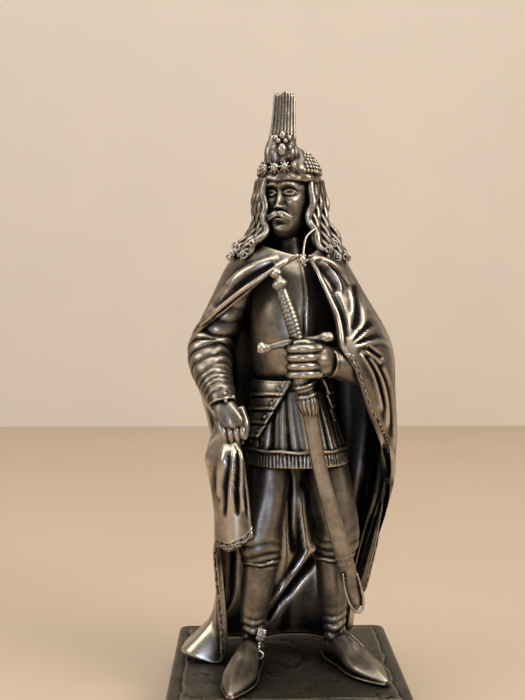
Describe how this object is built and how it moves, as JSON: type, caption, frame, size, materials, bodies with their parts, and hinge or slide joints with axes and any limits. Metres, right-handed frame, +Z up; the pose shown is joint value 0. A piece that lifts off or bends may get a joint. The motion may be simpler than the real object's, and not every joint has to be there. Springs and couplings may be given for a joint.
{
  "type": "lead statuette",
  "caption": "Cast lead statuette of a standing medieval ruler in plumed hat, cuirass and long cloak, holding a sheathed sword, on a square plinth.",
  "frame": {"origin": "centre of the plinth's flat underside", "axes": "+Z up through the figure, -Y the way the figure faces, +X towards the figure's left hand"},
  "size_m": [0.051, 0.051, 0.1353],
  "materials": {
    "figure_lead": "cast lead alloy, darkened in the hollows and rubbed bright on the high places",
    "base_lead": "cast lead alloy, dull dark brown patina, rough ground inside a smooth rim"
  },
  "bodies": {
    "root": {"figure": "figure_lead", "base": "base_lead"}
  },
  "joints": []
}
